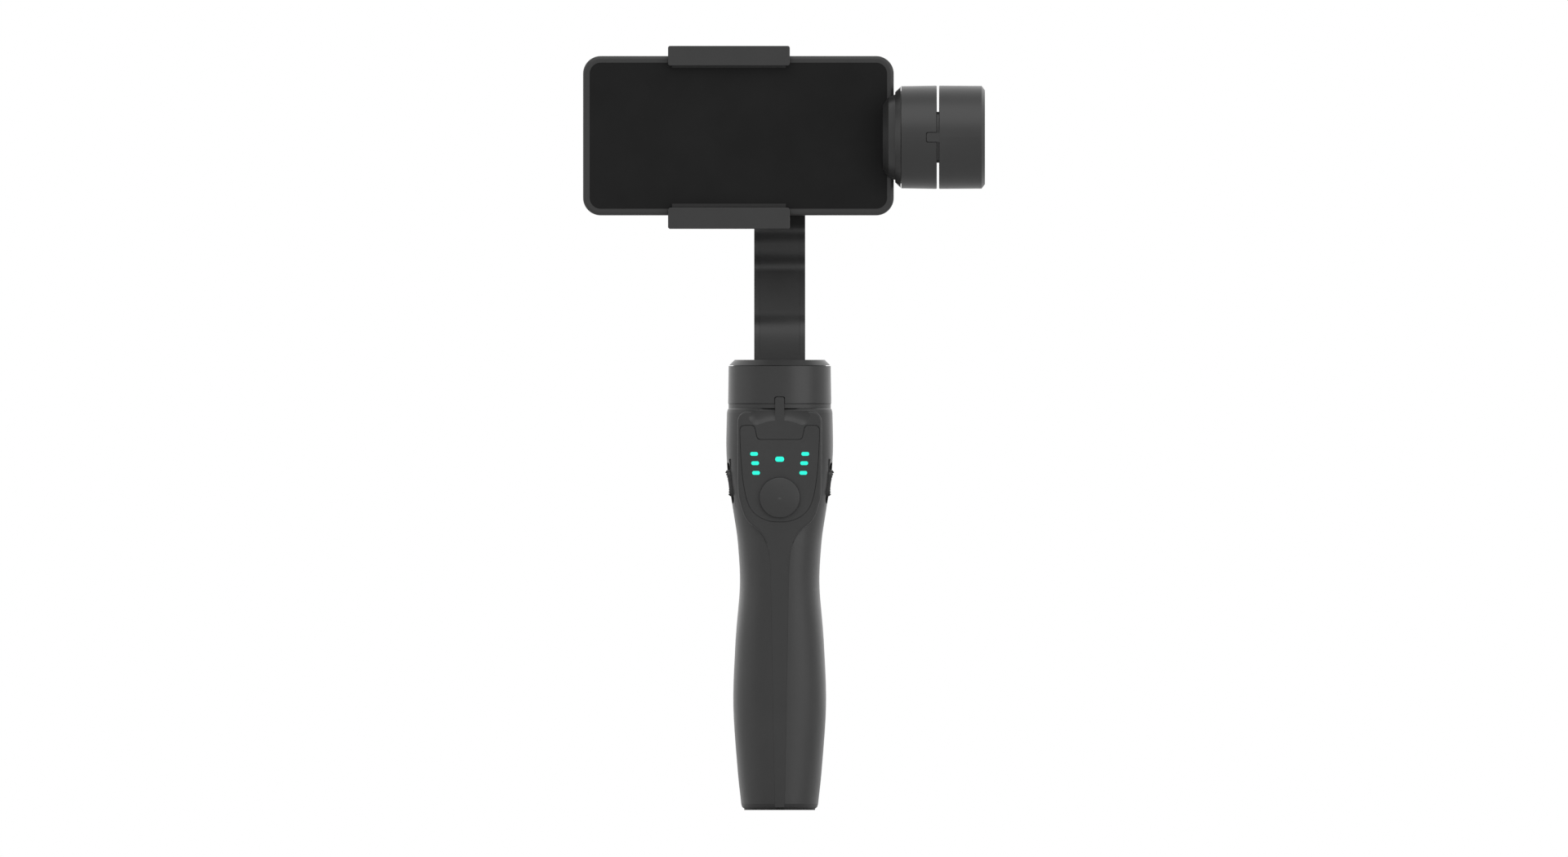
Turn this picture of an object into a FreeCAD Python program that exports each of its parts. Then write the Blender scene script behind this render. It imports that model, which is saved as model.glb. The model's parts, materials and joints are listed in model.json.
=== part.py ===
import FreeCAD, Part
import math
import os

# Three-axis hand-held phone gimbal. Millimetres, +Z up along the handle and the pan axis, -Y towards the operator,
# +X to the operator's right. The origin is the mouth of the tripod socket at the middle of the base.

# --- driving dimensions: handle -------------------------------------------------------------------------------
grip_height = 112.0          # base to the start of the head
head_height = 70.0           # start of the head to the shoulder under the pan motor
wall = 2.2                   # moulded wall of the grip shells
cover_thickness = 2.2
rim_width = 1.5              # wall round the shield that reaches back to the shells
rim_depth = 6.0
fascia_thickness = 1.4
seam = 0.12                  # gap left round the base cap and the arm covers
cover_fit = 0.03             # gap left round the strip and the shield
fascia_fit = 0.25            # gap left round the control panel
cover_edge = 0.9             # rounding of the shield's front edge
base_edge_height = 2.8       # lower end of the lofted grip
base_cap_height = 3.6
base_plug_height = 8.0
widest_y = -2.0              # where each cross-section is widest
base_z = 0.0

# height as a share of grip_height, half width, depth behind the front plane, half width of the front facet, back
grip_sections = [
    (0.0, 17.45, 0.05, 2.4, 17.4),
    (0.17, 19.15, 0.05, 2.7, 19.3),
    (0.45, 21.05, 0.05, 3.25, 21.0),
    (0.70, 19.9, 0.05, 3.75, 18.8),
    (0.93, 18.0, 0.05, 4.25, 16.2)]
# height above the start of the head, half width, depth behind the front plane, half width of the front facet, back
head_sections = [
    (9.0, 18.95, 0.4, 5.2, 17.0),
    (24.0, 21.1, 1.4, 6.4, 19.6),
    (41.0, 23.6, 1.8, 8.0, 22.2),
    (54.0, 24.2, 1.8, 9.0, 23.0),
    (68.0, 23.9, 1.8, 9.0, 22.9)]
shoulder_steps = [(0.0, 0.0), (1.4, 0.3), (2.0, 0.9)]     # rise and inset of the rounded shoulder
base_steps = [(0.0, 0.0), (1.4, 0.45), (2.2, 1.4)]        # drop and inset of the rounded base edge

# --- driving dimensions: controls -----------------------------------------------------------------------------
shield_half_width = 19.1
shield_top_drop = 1.2        # top edge of the shield below the shoulder
shield_corner = 5.0
scoop_radius = 6.0           # ball that hollows the shield on both sides of the key
scoop_depth = 1.15
scoop_half_width = 10.4
key_proud = 0.6              # how far the key and the cover stand in front of the pan can
key_half_width = 2.07
key_fit = 0.28               # gap between a key and its notch
key_corner = 0.8
key_rise = 3.1               # how far the key reaches up into a motor can
joystick_drop = 40.5         # joystick centre below the shoulder
joystick_cap_radius = 9.17
joystick_travel = 1.7
joystick_stem = 5.2
slider_drop = 34.0           # middle of the side sliders below the shoulder
slider_travel = 2.4
slider_half_length = 6.0
slider_half_width = 4.2
slider_y = -5.8              # middle of the side sliders, forward of the widest part
slider_lean = 8.06           # degrees
led_size = (3.5, 1.7)
status_led_size = (4.0, 2.3)
led_places = [(11.6, 20.7), (11.1, 24.9), (10.7, 29.3)]   # from the middle, below the shoulder
status_led_drop = 23.1

# --- driving dimensions: inside the handle --------------------------------------------------------------------
cell_radius = 9.2
cell_length = 65.0
cell_gap = 1.6
cell_fit = 0.25              # between a cell and its cradle
cradle_wall = 1.3
boss_radius = 2.6
screw_radius = 1.0
screw_head_radius = 1.9
screw_head_height = 1.4
socket_radius = 2.55         # 1/4-20 thread, minor diameter
socket_depth = 10.0
insert_radius = 5.0
insert_flange_radius = 6.2

# --- driving dimensions: motors -------------------------------------------------------------------------------
can_radius = 23.4
can_draft = 0.25
can_wall = 2.0
can_floor = 2.0
rotor_gap = 0.3              # between a can's rim and its rotor
rotor_thickness = 2.5
skirt_clearance = 0.4        # between the rotor's magnet carrier and the can
skirt_wall = 1.0
magnet_thickness = 1.6
air_gap = 0.8                # between the magnets and the stator
magnet_count = 14
tooth_count = 12
tooth_width = 2.6
tooth_tip = 2.2
coil_width = 4.9
hub_radius = 7.5
bearing_radius = 5.5
bearing_width = 3.0
shaft_radius = 2.5
running_clearance = 0.05
pan_can_length = 17.2
roll_can_length = 17.0
tilt_can_length = 16.1
housing_gap = 1.0            # between a can and the housing that it is keyed to
tab_reach = 4.6              # how far a housing's tab reaches into its can
neck_half_width = 10.3       # neck that joins a housing to its can
roll_housing_depth = 12.0
tilt_housing_depth = 20.8
housing_cap_thickness = 2.6
seat_height = 1.9
neck_radius = 20.0           # opening in the top of the shells
seat_inset = 0.2             # seat's rim inside the can's

# --- driving dimensions: arms ---------------------------------------------------------------------------------
arm_rise = 100.8             # pan rotor's face to the roll axis
arm_half_width = 11.55
arm_thickness = 8.0
arm_foot_y = 2.0             # middle of the strap over the pan rotor
arm_knee_y = 33.7            # middle of the strap where it runs upright behind the phone
arm_cover_half_width = 9.05
arm_cover_thickness = 1.0
roll_arm_thickness = 7.0
roll_arm_front = 22.0
tilt_axis_y = -32.0
tilt_gap_x = 71.2            # face of the tilt can on its keyed side

# --- driving dimensions: clamp and phone ----------------------------------------------------------------------
phone_length = 140.8
phone_height = 72.2
phone_thickness = 8.5
phone_right = 51.7
phone_bottom_drop = 35.4     # phone's lower edge below the tilt axis
phone_front_y = -29.5
phone_corner = 8.0
bezel = 3.0
glass_thickness = 0.8
pad_thickness = 0.6
phone_clearance = 0.1        # between the phone and the pads
end_clearance = 0.4          # between the phone's end and the tilt rotor
jaw_left = -50.6
jaw_right = 4.6
jaw_lip = 3.1
jaw_lip_overlap = 4.4        # how far a lip reaches over the phone's face
jaw_plate = 3.9
lower_jaw_plate = 5.4
clamp_front_y = -20.4
clamp_depth = 8.4
clamp_left = -46.0
clamp_right = 0.0
rod_radius = 1.5
rod_spread = 15.0            # guide rods from the clamp's middle
spring_wire = 0.45
spring_turns = 11
flange_length = 5.6
flange_small_radius = 14.6
flange_mid_radius = 18.2

# --- worked out -----------------------------------------------------------------------------------------------
front_plane = -(can_radius + key_proud)    # flat front of the cover, strip and shield
rotor_face_radius = can_radius - 0.5 - rotor_thickness
skirt_radius = can_radius - can_wall - skirt_clearance
stator_radius = skirt_radius - skirt_wall - magnet_thickness - air_gap
shoulder_z = grip_height + head_height
pan_can_z = shoulder_z + seat_height
pan_face_z = pan_can_z + pan_can_length + rotor_gap + rotor_thickness
roll_axis_z = pan_face_z + arm_rise
joystick_z = shoulder_z - joystick_drop
cover_back = front_plane + cover_thickness
module_back = cover_back + 7.4
cradle_radius = cell_radius + cell_fit + cradle_wall
cell_y = module_back + 0.65 + cradle_radius
cavity_front = cover_back + wall
phone_bottom = roll_axis_z - phone_bottom_drop
phone_top = phone_bottom + phone_height
phone_back_y = phone_front_y + phone_thickness
phone_left = phone_right - phone_length
roll_arm_back = roll_arm_front + roll_arm_thickness
roll_can_y = roll_arm_back + rotor_thickness + rotor_gap + roll_can_length

V = FreeCAD.Vector


def export(shape, node):
    shape.exportStep("parts/" + node + ".step")


def box(low, high):
    return Part.makeBox(high[0] - low[0], high[1] - low[1], high[2] - low[2], V(*low))


def cylinder(radius, start, end):
    run = V(*end) - V(*start)
    return Part.makeCylinder(radius, run.Length, V(*start), run)


def fuse(shapes):
    return shapes[0].multiFuse(shapes[1:]).removeSplitter()


def revolve(profile):
    """Turn a closed profile of (radius, z) points about the Z axis."""
    points = [V(r, 0, z) for r, z in profile]
    face = Part.Face(Part.makePolygon(points + [points[0]]))
    return face.revolve(V(0, 0, 0), V(0, 0, 1), 360)


def frame_at(origin, x_axis, z_axis):
    """Placement that puts local +X and +Z on the given directions."""
    x_dir = V(*x_axis)
    z_dir = V(*z_axis)
    y_dir = z_dir.cross(x_dir)
    matrix = FreeCAD.Matrix(x_dir.x, y_dir.x, z_dir.x, origin[0],
                            x_dir.y, y_dir.y, z_dir.y, origin[1],
                            x_dir.z, y_dir.z, z_dir.z, origin[2],
                            0, 0, 0, 1)
    return FreeCAD.Placement(matrix)


def placed(shape, placement):
    moved = shape.copy()
    moved.Placement = placement.multiply(moved.Placement)
    return moved


def mirrored(shape):
    return shape.mirror(V(0, 0, 0), V(1, 0, 0))


def rounded_box(low, high, radius, along):
    """Box whose four edges along one axis (0, 1 or 2) are rounded."""
    solid = box(low, high)
    direction = [V(1, 0, 0), V(0, 1, 0), V(0, 0, 1)][along]
    edges = [edge for edge in solid.Edges if abs(edge.tangentAt(edge.FirstParameter).dot(direction)) > 0.99]
    return solid.makeFillet(radius, edges)


def softened(solid, radius, test):
    """Round the edges whose middle passes the test."""
    edges = [edge for edge in solid.Edges if test(edge.CenterOfMass)]
    return solid.makeFillet(radius, edges)


# --- handle ---------------------------------------------------------------------------------------------------
def section_wire(z, half_width, front, facet, back):
    """Grip cross-section: flat front facet, full sides, round back."""
    reach = half_width - facet
    front_depth = widest_y - front
    back_depth = back - widest_y
    right_front = [(facet, front), (facet + 0.55 * reach, front + 0.10 * reach),
                   (half_width, widest_y - 0.62 * front_depth), (half_width, widest_y)]
    right_back = [(half_width, widest_y), (half_width, widest_y + 0.56 * back_depth),
                  (0.58 * half_width, back), (0, back)]

    def curve(points, side):
        bezier = Part.BezierCurve()
        bezier.setPoles([V(side * x, y, z) for x, y in points])
        return bezier.toShape()

    edges = [Part.makeLine(V(-facet, front, z), V(facet, front, z)),
             curve(right_front, 1), curve(right_back, 1),
             curve(right_back[::-1], -1), curve(right_front[::-1], -1)]
    return Part.Wire(edges)


def between_rows(rows, extra):
    """Add sections between the given ones, on a curve that never swings past them."""
    columns = list(zip(*rows))
    heights = columns[0]
    gaps = [b - a for a, b in zip(heights, heights[1:])]
    slopes = []
    for values in columns:
        rates = [(b - a) / gap for a, b, gap in zip(values, values[1:], gaps)]
        inner = [2 * a * b / (a + b) if a * b > 0 else 0.0 for a, b in zip(rates, rates[1:])]
        slopes.append([rates[0]] + inner + [rates[-1]])
    dense = []
    for i, gap in enumerate(gaps):
        for step in range(extra + 1):
            t = step / (extra + 1)
            row = [heights[i] + t * gap]
            for values, slope in zip(columns[1:], slopes[1:]):
                row.append((1 + 2 * t) * (1 - t) ** 2 * values[i] + t * (1 - t) ** 2 * gap * slope[i] +
                           t * t * (3 - 2 * t) * values[i + 1] - t * t * (1 - t) * gap * slope[i + 1])
            dense.append(tuple(row))
    return dense + [rows[-1]]


def handle_sections(inset):
    """Cross-sections from base to shoulder, drawn in by the wall where inset is not zero."""
    rows = [(max(share * grip_height, base_edge_height), width, front_plane + depth, facet, back)
            for share, width, depth, facet, back in grip_sections]
    rows += [(grip_height + rise, width, front_plane + depth, facet, back)
             for rise, width, depth, facet, back in head_sections]
    rows = between_rows(rows, 2)
    if inset == 0:
        return rows
    return [(z, width - inset, cavity_front, min(facet, width / 2), back - inset)
            for z, width, front, facet, back in rows]


def loft(rows, ruled=False):
    return Part.makeLoft([section_wire(*row) for row in rows], True, ruled)


def stepped(row, steps, direction):
    """Short ruled lofts that round an end of the handle."""
    z, width, front, facet, back = row
    rows = [(z + direction * rise, width - inset, front + inset, facet, back - inset) for rise, inset in steps]
    if direction < 0:
        rows = rows[::-1]
    return [loft(rows[i:i + 2], True) for i in range(len(rows) - 1)]


def handle_outer():
    rows = handle_sections(0)
    parts = [loft(rows)] + stepped(rows[0], base_steps, -1) + stepped(rows[-1], shoulder_steps, 1)
    return fuse(parts)


def handle_cavity():
    rows = handle_sections(wall)
    low = list(rows[0])
    low[0] = base_z
    top = shoulder_z - wall
    high = list(rows[-1])
    high[0] = top
    body = loft([tuple(low)] + rows[1:-1] + [tuple(high)])
    return body


def cover_outline(grow):
    """Keyhole outline of the front cover: narrow strip, flare, shield with rounded top corners."""
    strip_low = base_cap_height - 2.4 - grow
    strip_high = grip_height - 10.0
    right = [V(2.2 + grow, 0, strip_low), V(4.0 + grow, 0, strip_high)]
    flare = [V(4.0 + grow, 0, strip_high), V(5.6 + grow, 0, grip_height + 7.6),
             V(9.7 + grow, 0, grip_height + 14.6 - grow), V(14.6 + grow, 0, grip_height + 18.9 - grow),
             V(17.7 + grow, 0, grip_height + 26.2), V(shield_half_width + grow, 0, grip_height + 39.5)]
    curve = Part.BSplineCurve()
    tangent = right[1] - right[0]
    curve.interpolate(Points=flare, InitialTangent=tangent.normalize(), FinalTangent=V(0.02, 0, 1))
    top = shoulder_z - shield_top_drop + grow
    width = shield_half_width + grow
    corner = shield_corner + grow
    mid = corner * (1 - math.sqrt(0.5))
    line_up = Part.makeLine(flare[-1], V(width, 0, top - corner))
    corner_arc = Part.Arc(V(width, 0, top - corner), V(width - mid, 0, top - mid),
                          V(width - corner, 0, top)).toShape()
    half = [Part.makeLine(right[0], right[1]), curve.toShape(), line_up, corner_arc]
    top_line = Part.makeLine(V(corner - width, 0, top), V(width - corner, 0, top))
    bottom = Part.makeLine(V(-right[0].x, 0, strip_low), right[0])
    edges = half + [top_line] + [mirrored(edge) for edge in half] + [bottom]
    return Part.Wire(Part.__sortEdges__(edges))


def plate_from(wire, front, thickness):
    plate = Part.Face(wire).extrude(V(0, thickness, 0))
    plate.translate(V(0, front, 0))
    return plate


def key_fin(grow, rise):
    """Locating key that stands up from the shield into the pan can."""
    half = key_half_width + grow
    low = (-half, front_plane - grow, shoulder_z - 6.0 - grow)
    high = (half, cover_back + (0.3 if grow else 0), pan_can_z + rise)
    return softened(box(low, high), key_corner, lambda c: abs(abs(c.x) - half) < 0.01 and abs(c.z - high[2]) < 0.01)


def shield_scoop():
    """Shallow valley that arches over the control panel, under the key."""
    centre_y = front_plane - scoop_radius + scoop_depth
    top = shoulder_z - 1.9
    fall = 2.1
    arch = (scoop_half_width ** 2 + fall ** 2) / (2 * fall)
    angle = math.degrees(math.asin(scoop_half_width / arch))
    profile = Part.Face(Part.Wire(Part.makeCircle(scoop_radius, V(arch, centre_y, 0), V(0, 0, 1))))
    valley = profile.revolve(V(0, 0, 0), V(0, 1, 0), -2 * angle)
    valley.rotate(V(0, 0, 0), V(0, 1, 0), angle - 90)
    valley.translate(V(0, 0, top - arch))
    ends = [Part.makeSphere(scoop_radius, V(side * scoop_half_width, centre_y, top - fall)) for side in (-1, 1)]
    return fuse([valley] + ends)


def fascia_outline(grow):
    """Control panel inlay: round bottom, lobed top with a sunken bridge between the lobes."""
    top = shoulder_z - 7.9 + grow
    bridge = shoulder_z - 14.3 + grow
    bottom = shoulder_z - 51.4 - grow
    side = 17.9 + grow
    corner = 2.0
    right = [V(side, 0, top - corner), V(17.5 + grow, 0, shoulder_z - 21.4), V(15.7 + grow, 0, shoulder_z - 37.7),
             V(11.5 + grow, 0, shoulder_z - 47.4), V(4.6, 0, bottom + 0.4), V(0, 0, bottom)]
    curve = Part.BSplineCurve()
    curve.interpolate(Points=right, InitialTangent=V(0, 0, -1), FinalTangent=V(-1, 0, 0))
    mid = corner * (1 - math.sqrt(0.5))
    lobe = Part.Arc(V(side - corner, 0, top), V(side - mid, 0, top - mid), V(side, 0, top - corner)).toShape()
    lobe_top = Part.makeLine(V(11.6 - grow, 0, top), V(side - corner, 0, top))
    slope = Part.makeLine(V(10.2 - grow, 0, bridge), V(11.6 - grow, 0, top))
    half = [curve.toShape(), lobe, lobe_top, slope]
    bridge_line = Part.makeLine(V(-10.2 + grow, 0, bridge), V(10.2 - grow, 0, bridge))
    edges = half + [bridge_line] + [mirrored(edge) for edge in half]
    return Part.Wire(Part.__sortEdges__(edges))


def fascia_plate(grow, front, thickness):
    """Control panel with the inner corners of its lobes rounded."""
    plate = plate_from(fascia_outline(grow), front, thickness)
    return softened(plate, 1.7, lambda c: 10.0 - grow < abs(c.x) < 11.8 - grow and c.z > shoulder_z - 16 and
                    abs(c.y - front - thickness / 2) < 0.01)


def led_bar(x, z, size, grow, front, back):
    long_side, short_side = size
    low = (x - long_side / 2 - grow, front, z - short_side / 2 - grow)
    high = (x + long_side / 2 + grow, back, z + short_side / 2 + grow)
    return rounded_box(low, high, short_side * 0.46, 1)


def led_bars(grow, front, back):
    bars = [led_bar(side * x, shoulder_z - drop, led_size, grow, front, back)
            for side in (-1, 1) for x, drop in led_places]
    bars.append(led_bar(0, shoulder_z - status_led_drop, status_led_size, grow, front, back))
    return bars


def slider_frame(side):
    lean = math.radians(slider_lean)
    origin = (side * 23.05, slider_y, shoulder_z - slider_drop)
    outward = (side * math.cos(lean), 0, -math.sin(lean))
    along = (side * math.sin(lean), 0, math.cos(lean))
    return frame_at(origin, outward, along)


def slider_slot():
    half = slider_half_length + slider_travel + 0.9
    return rounded_box((-2.6, -slider_half_width - 0.4, -half), (5.0, slider_half_width + 0.4, half), 3.0, 0)


slider_tray_box = ((-4.6, -5.4, -10.9), (-1.6, 5.4, 10.9))


def slider_tray():
    reach = 2.5 + slider_travel + 0.2
    tray = box(*slider_tray_box)
    return tray.cut(box((-5, -1.5, -reach), (0, 1.5, reach)))


def slider_cap():
    """Saddle-shaped thumb slider with ribbed ends and a foot through its tray."""
    length = slider_half_length
    points = [V(-1.4, 0, -length), V(0.1, 0, -length), V(0.9, 0, -length + 0.9),
              V(0.9, 0, length - 0.9), V(0.1, 0, length), V(-1.4, 0, length)]
    saddle = Part.Arc(points[2], V(0.15, 0, 0), points[3]).toShape()
    outline = Part.Wire([Part.makeLine(points[0], points[1]), Part.makeLine(points[1], points[2]), saddle,
                         Part.makeLine(points[3], points[4]), Part.makeLine(points[4], points[5]),
                         Part.makeLine(points[5], points[0])])
    cap = Part.Face(outline).extrude(V(0, 2 * slider_half_width, 0))
    cap.translate(V(0, -slider_half_width, 0))
    cap = cap.common(rounded_box((-2, -slider_half_width, -length), (3, slider_half_width, length), 2.6, 0))
    grooves = []
    for end in (-1, 1):
        for step in range(3):
            z = end * (length - 1.5 - 1.1 * step)
            grooves.append(box((0.4 - 0.12 * step, -slider_half_width, z - 0.22), (2, slider_half_width, z + 0.22)))
    cap = cap.cut(Part.makeCompound(grooves))
    foot = box((-4.2, -1.2, -2.5), (-1.3, 1.2, 2.5))
    return cap.fuse(foot).removeSplitter()


shell_boss_y = cell_y + cradle_radius + boss_radius + 0.2
shell_boss_heights = (24.0, 62.0, grip_height + 18.0)


def handle_shells():
    outer = handle_outer()
    cavity = handle_cavity()
    shell = outer.cut(cavity)
    bosses = [cylinder(boss_radius, (-40, shell_boss_y, z), (40, shell_boss_y, z)) for z in shell_boss_heights]
    shell = fuse([shell] + [boss.common(outer) for boss in bosses])
    base_rows = list(handle_sections(0)[0])
    rebate = base_plate(seam, base_z - 1, base_cap_height + seam, base_rows)
    cuts = [plate_from(cover_outline(cover_fit), front_plane - 1, cover_thickness + 1),
            key_fin(seam, 0), rebate]
    window = rounded_box((-15.2, front_plane - 1, joystick_z - 9.2),
                         (15.2, cavity_front + 2, shoulder_z - 10.0), 3.0, 1)
    cuts.append(window)
    cuts.append(cylinder(neck_radius, (0, 0, shoulder_z - wall - 2), (0, 0, shoulder_z + 1)))
    usb_half = (usb_size[0] / 2 + 0.2, usb_size[1] / 2 + 0.2)
    cuts.append(rounded_box((-usb_half[0], 14, usb_z - usb_half[1]), (usb_half[0], 30, usb_z + usb_half[1]), 1.6, 1))
    for side in (-1, 1):
        cuts.append(placed(slider_slot(), slider_frame(side)))
        cuts.append(placed(box(*slider_tray_box), slider_frame(side)))
    for z in shell_boss_heights:
        cuts.append(cylinder(screw_head_radius + 0.15, (-40, shell_boss_y, z), (-8, shell_boss_y, z)))
        cuts.append(cylinder(screw_radius + 0.02, (-9, shell_boss_y, z), (6.5, shell_boss_y, z)))
    shell = shell.cut(Part.makeCompound(cuts))
    left = shell.common(box((-40, -40, -5), (0, 40, shoulder_z + 5)))
    right = shell.common(box((0, -40, -5), (40, 40, shoulder_z + 5)))
    return left, right


def base_plate(grow, low, high, row):
    """Slab with the outline of the base, drawn in from the shells' lower edge."""
    z, width, front, facet, back = row
    inset = 1.4 - grow
    wire = section_wire(low, width - inset, front + inset, facet, back - inset)
    return Part.Face(wire).extrude(V(0, 0, high - low))


def base_cap():
    row = handle_sections(0)[0]
    plate = base_plate(0, base_z, base_cap_height, row)
    z, width, front, facet, back = handle_sections(wall)[0]
    wire = section_wire(base_cap_height, width - 0.4, front + 0.4, facet, back - 0.4)
    plug = Part.Face(wire).extrude(V(0, 0, base_plug_height - base_cap_height))
    cap = fuse([plate, plug])
    cuts = [cylinder(insert_radius, (0, 0, -1), (0, 0, base_plug_height + 1)),
            cylinder(insert_flange_radius, (0, 0, -1), (0, 0, 1.0))]
    for x in base_screw_x:
        cuts.append(cylinder(screw_head_radius + 0.1, (x, cell_y, -1), (x, cell_y, screw_head_height + 0.4)))
        cuts.append(cylinder(screw_radius + 0.02, (x, cell_y, 0), (x, cell_y, base_plug_height + 1)))
    cuts.append(plate_from(cover_outline(cover_fit), front_plane - 1, cover_thickness + 1))
    return cap.cut(Part.makeCompound(cuts))


def tripod_insert():
    body = fuse([cylinder(insert_radius, (0, 0, 0), (0, 0, socket_depth + 1.5)),
                 cylinder(insert_flange_radius, (0, 0, 0), (0, 0, 1.0))])
    return body.cut(cylinder(socket_radius, (0, 0, -1), (0, 0, socket_depth)))


base_screw_x = (-10.4, 10.4)
base_screw_length = 12.4
cradle_floor = socket_depth + 2.2
cells_low = cradle_floor + 2.4
cells_high = cells_low + 2 * cell_length + cell_gap
cradle_top = cells_high + 2.0
board_low = max(cradle_top + 0.6, shoulder_z - 33.0)
usb_size = (9.0, 3.6)
usb_z = shoulder_z - 18.0
board_back = 9.6


def screw(start, direction, length):
    """Pan-head screw with a hexagon socket; start is the underside of its head."""
    axis = V(*direction)
    base = V(*start)
    shank = Part.makeCylinder(screw_radius, length, base, axis)
    head = Part.makeCylinder(screw_head_radius, screw_head_height, base - axis * screw_head_height, axis)
    socket = Part.makeCylinder(0.7, 0.9, base - axis * screw_head_height, axis)
    return shank.fuse(head).removeSplitter().cut(socket)


def handle_screws():
    screws = [screw((-8, shell_boss_y, z), (1, 0, 0), 13.0) for z in shell_boss_heights]
    screws += [screw((x, cell_y, screw_head_height + 0.4), (0, 0, 1), base_screw_length) for x in base_screw_x]
    return Part.makeCompound(screws)


def battery_cells():
    cells = []
    for index in range(2):
        low = cells_low + index * (cell_length + cell_gap)
        body = cylinder(cell_radius, (0, cell_y, low), (0, cell_y, low + cell_length - 1.2))
        button = cylinder(2.8, (0, cell_y, low + cell_length - 1.2), (0, cell_y, low + cell_length))
        cells.append(body.fuse(button).removeSplitter())
    return Part.makeCompound(cells)


def battery_cradle():
    """Half-round tray behind the cells with an end plate at each end."""
    tube = cylinder(cradle_radius, (0, cell_y, cradle_floor), (0, cell_y, cradle_top))
    bore = cylinder(cell_radius + cell_fit, (0, cell_y, cells_low - 0.6), (0, cell_y, cells_high + 0.6))
    front = box((-20, -40, cells_low - 0.6), (20, cell_y, cells_high + 0.6))
    body = tube.cut(bore).cut(front)
    foot = box((base_screw_x[0] - 2.2, cell_y - 2.6, cradle_floor),
               (base_screw_x[1] + 2.2, cell_y + 2.6, cells_low - 0.7))
    body = fuse([body, foot])
    holes = [cylinder(screw_radius + 0.02, (x, cell_y, 0), (x, cell_y, cells_low + 1)) for x in base_screw_x]
    return body.cut(Part.makeCompound(holes))


def battery_contacts():
    strips = []
    for z in (cells_low - 0.6, cells_high):
        strips.append(box((-4, cell_y - 3, z), (4, cell_y + 3, z + 0.6)))
    middle = cells_low + cell_length
    strips.append(box((-4, cell_y - 3, middle), (4, cell_y + 3, middle + cell_gap)))
    return Part.makeCompound(strips)


def main_board():
    board = box((-14.5, board_back - 1.6, board_low), (14.5, board_back, shoulder_z - 4.5))
    chip = box((-5, board_back - 2.8, board_low + 6), (5, board_back - 1.6, board_low + 16))
    plug = box((-12, board_back - 5.0, board_low + 19), (-4, board_back - 1.6, board_low + 23))
    return fuse([board, chip, plug])


def usb_port():
    half_x = usb_size[0] / 2
    half_z = usb_size[1] / 2
    body = rounded_box((-half_x, board_back, usb_z - half_z), (half_x, 21.6, usb_z + half_z), 1.5, 1)
    mouth = rounded_box((-half_x + 0.4, 13.6, usb_z - half_z + 0.4), (half_x - 0.4, 23, usb_z + half_z - 0.4), 1.2, 1)
    tongue = box((-3.2, 13.6, usb_z - 0.35), (3.2, 20.4, usb_z + 0.35))
    return body.cut(mouth).fuse(tongue)


def control_board():
    board = box((-13.6, -19.6, shoulder_z - 32.0), (13.6, -18.2, shoulder_z - 12.0))
    chip = box((-4, -18.2, shoulder_z - 27), (4, -17.0, shoulder_z - 19))
    return fuse([board, chip])


def joystick_module():
    """Housing of the sliding joystick: guides the carriage sideways and clears the retainer."""
    front = cover_back
    body = box((-10.4, front, joystick_z - 8.2), (10.4, module_back, joystick_z + 8.2))
    travel = joystick_travel
    layer = carriage_back + 0.1
    half = carriage_half_width + travel + 0.2
    carriage_room = box((-half, front - 1, joystick_z - 5.05), (half, layer, joystick_z + 5.05))
    room = 4.0 + travel + 0.3
    retainer_room = box((-room, front, joystick_z - room), (room, layer + 2.4, joystick_z + room))
    return body.cut(Part.makeCompound([carriage_room])).cut(retainer_room)


carriage_front = cover_back + 0.3
carriage_back = carriage_front + 1.7
carriage_half_width = 7.0


def joystick_carriage():
    half = joystick_stem / 2 + running_clearance
    reach = joystick_stem / 2 + joystick_travel + 0.1
    plate = box((-carriage_half_width, carriage_front, joystick_z - 5.0),
                (carriage_half_width, carriage_back, joystick_z + 5.0))
    return plate.cut(box((-half, -40, joystick_z - reach), (half, 0, joystick_z + reach)))


def joystick_cap():
    """Low domed thumb pad on a square stem with a retainer behind the carriage."""
    rim = front_plane - 0.3
    dome_height = 0.9
    rim_height = 1.7
    radius = joystick_cap_radius
    edge = [V(0, 0, 0), V(radius - 0.2, 0, 0), V(radius, 0, 0.2), V(radius, 0, rim_height - 0.6)]
    crown_start = V(radius - 0.6, 0, rim_height)
    round_arc = Part.Arc(edge[3], V(radius - 0.18, 0, rim_height - 0.18), crown_start).toShape()
    ball = (crown_start.x ** 2 + dome_height ** 2) / (2 * dome_height)
    half_way = crown_start.x / 2
    drop = ball - math.sqrt(ball ** 2 - half_way ** 2)
    crown = Part.Arc(crown_start, V(half_way, 0, rim_height + dome_height - drop),
                     V(0, 0, rim_height + dome_height)).toShape()
    lines = [Part.makeLine(edge[i], edge[i + 1]) for i in range(3)]
    closing = Part.makeLine(V(0, 0, rim_height + dome_height), edge[0])
    face = Part.Face(Part.Wire(lines + [round_arc, crown, closing]))
    pad = face.revolve(V(0, 0, 0), V(0, 0, 1), 360)
    pad = placed(pad, frame_at((0, rim, joystick_z), (1, 0, 0), (0, -1, 0)))
    half = joystick_stem / 2
    stem = box((-half, rim - 0.5, joystick_z - half), (half, carriage_back + 0.3, joystick_z + half))
    retainer = box((-4, carriage_back + 0.3, joystick_z - 4), (4, carriage_back + 1.7, joystick_z + 4))
    return fuse([pad, stem, retainer])


def joystick_hole(low, high):
    reach = joystick_stem / 2 + joystick_travel + 0.5
    return rounded_box((-reach, low, joystick_z - reach), (reach, high, joystick_z + reach), 0.6, 1)


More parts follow.
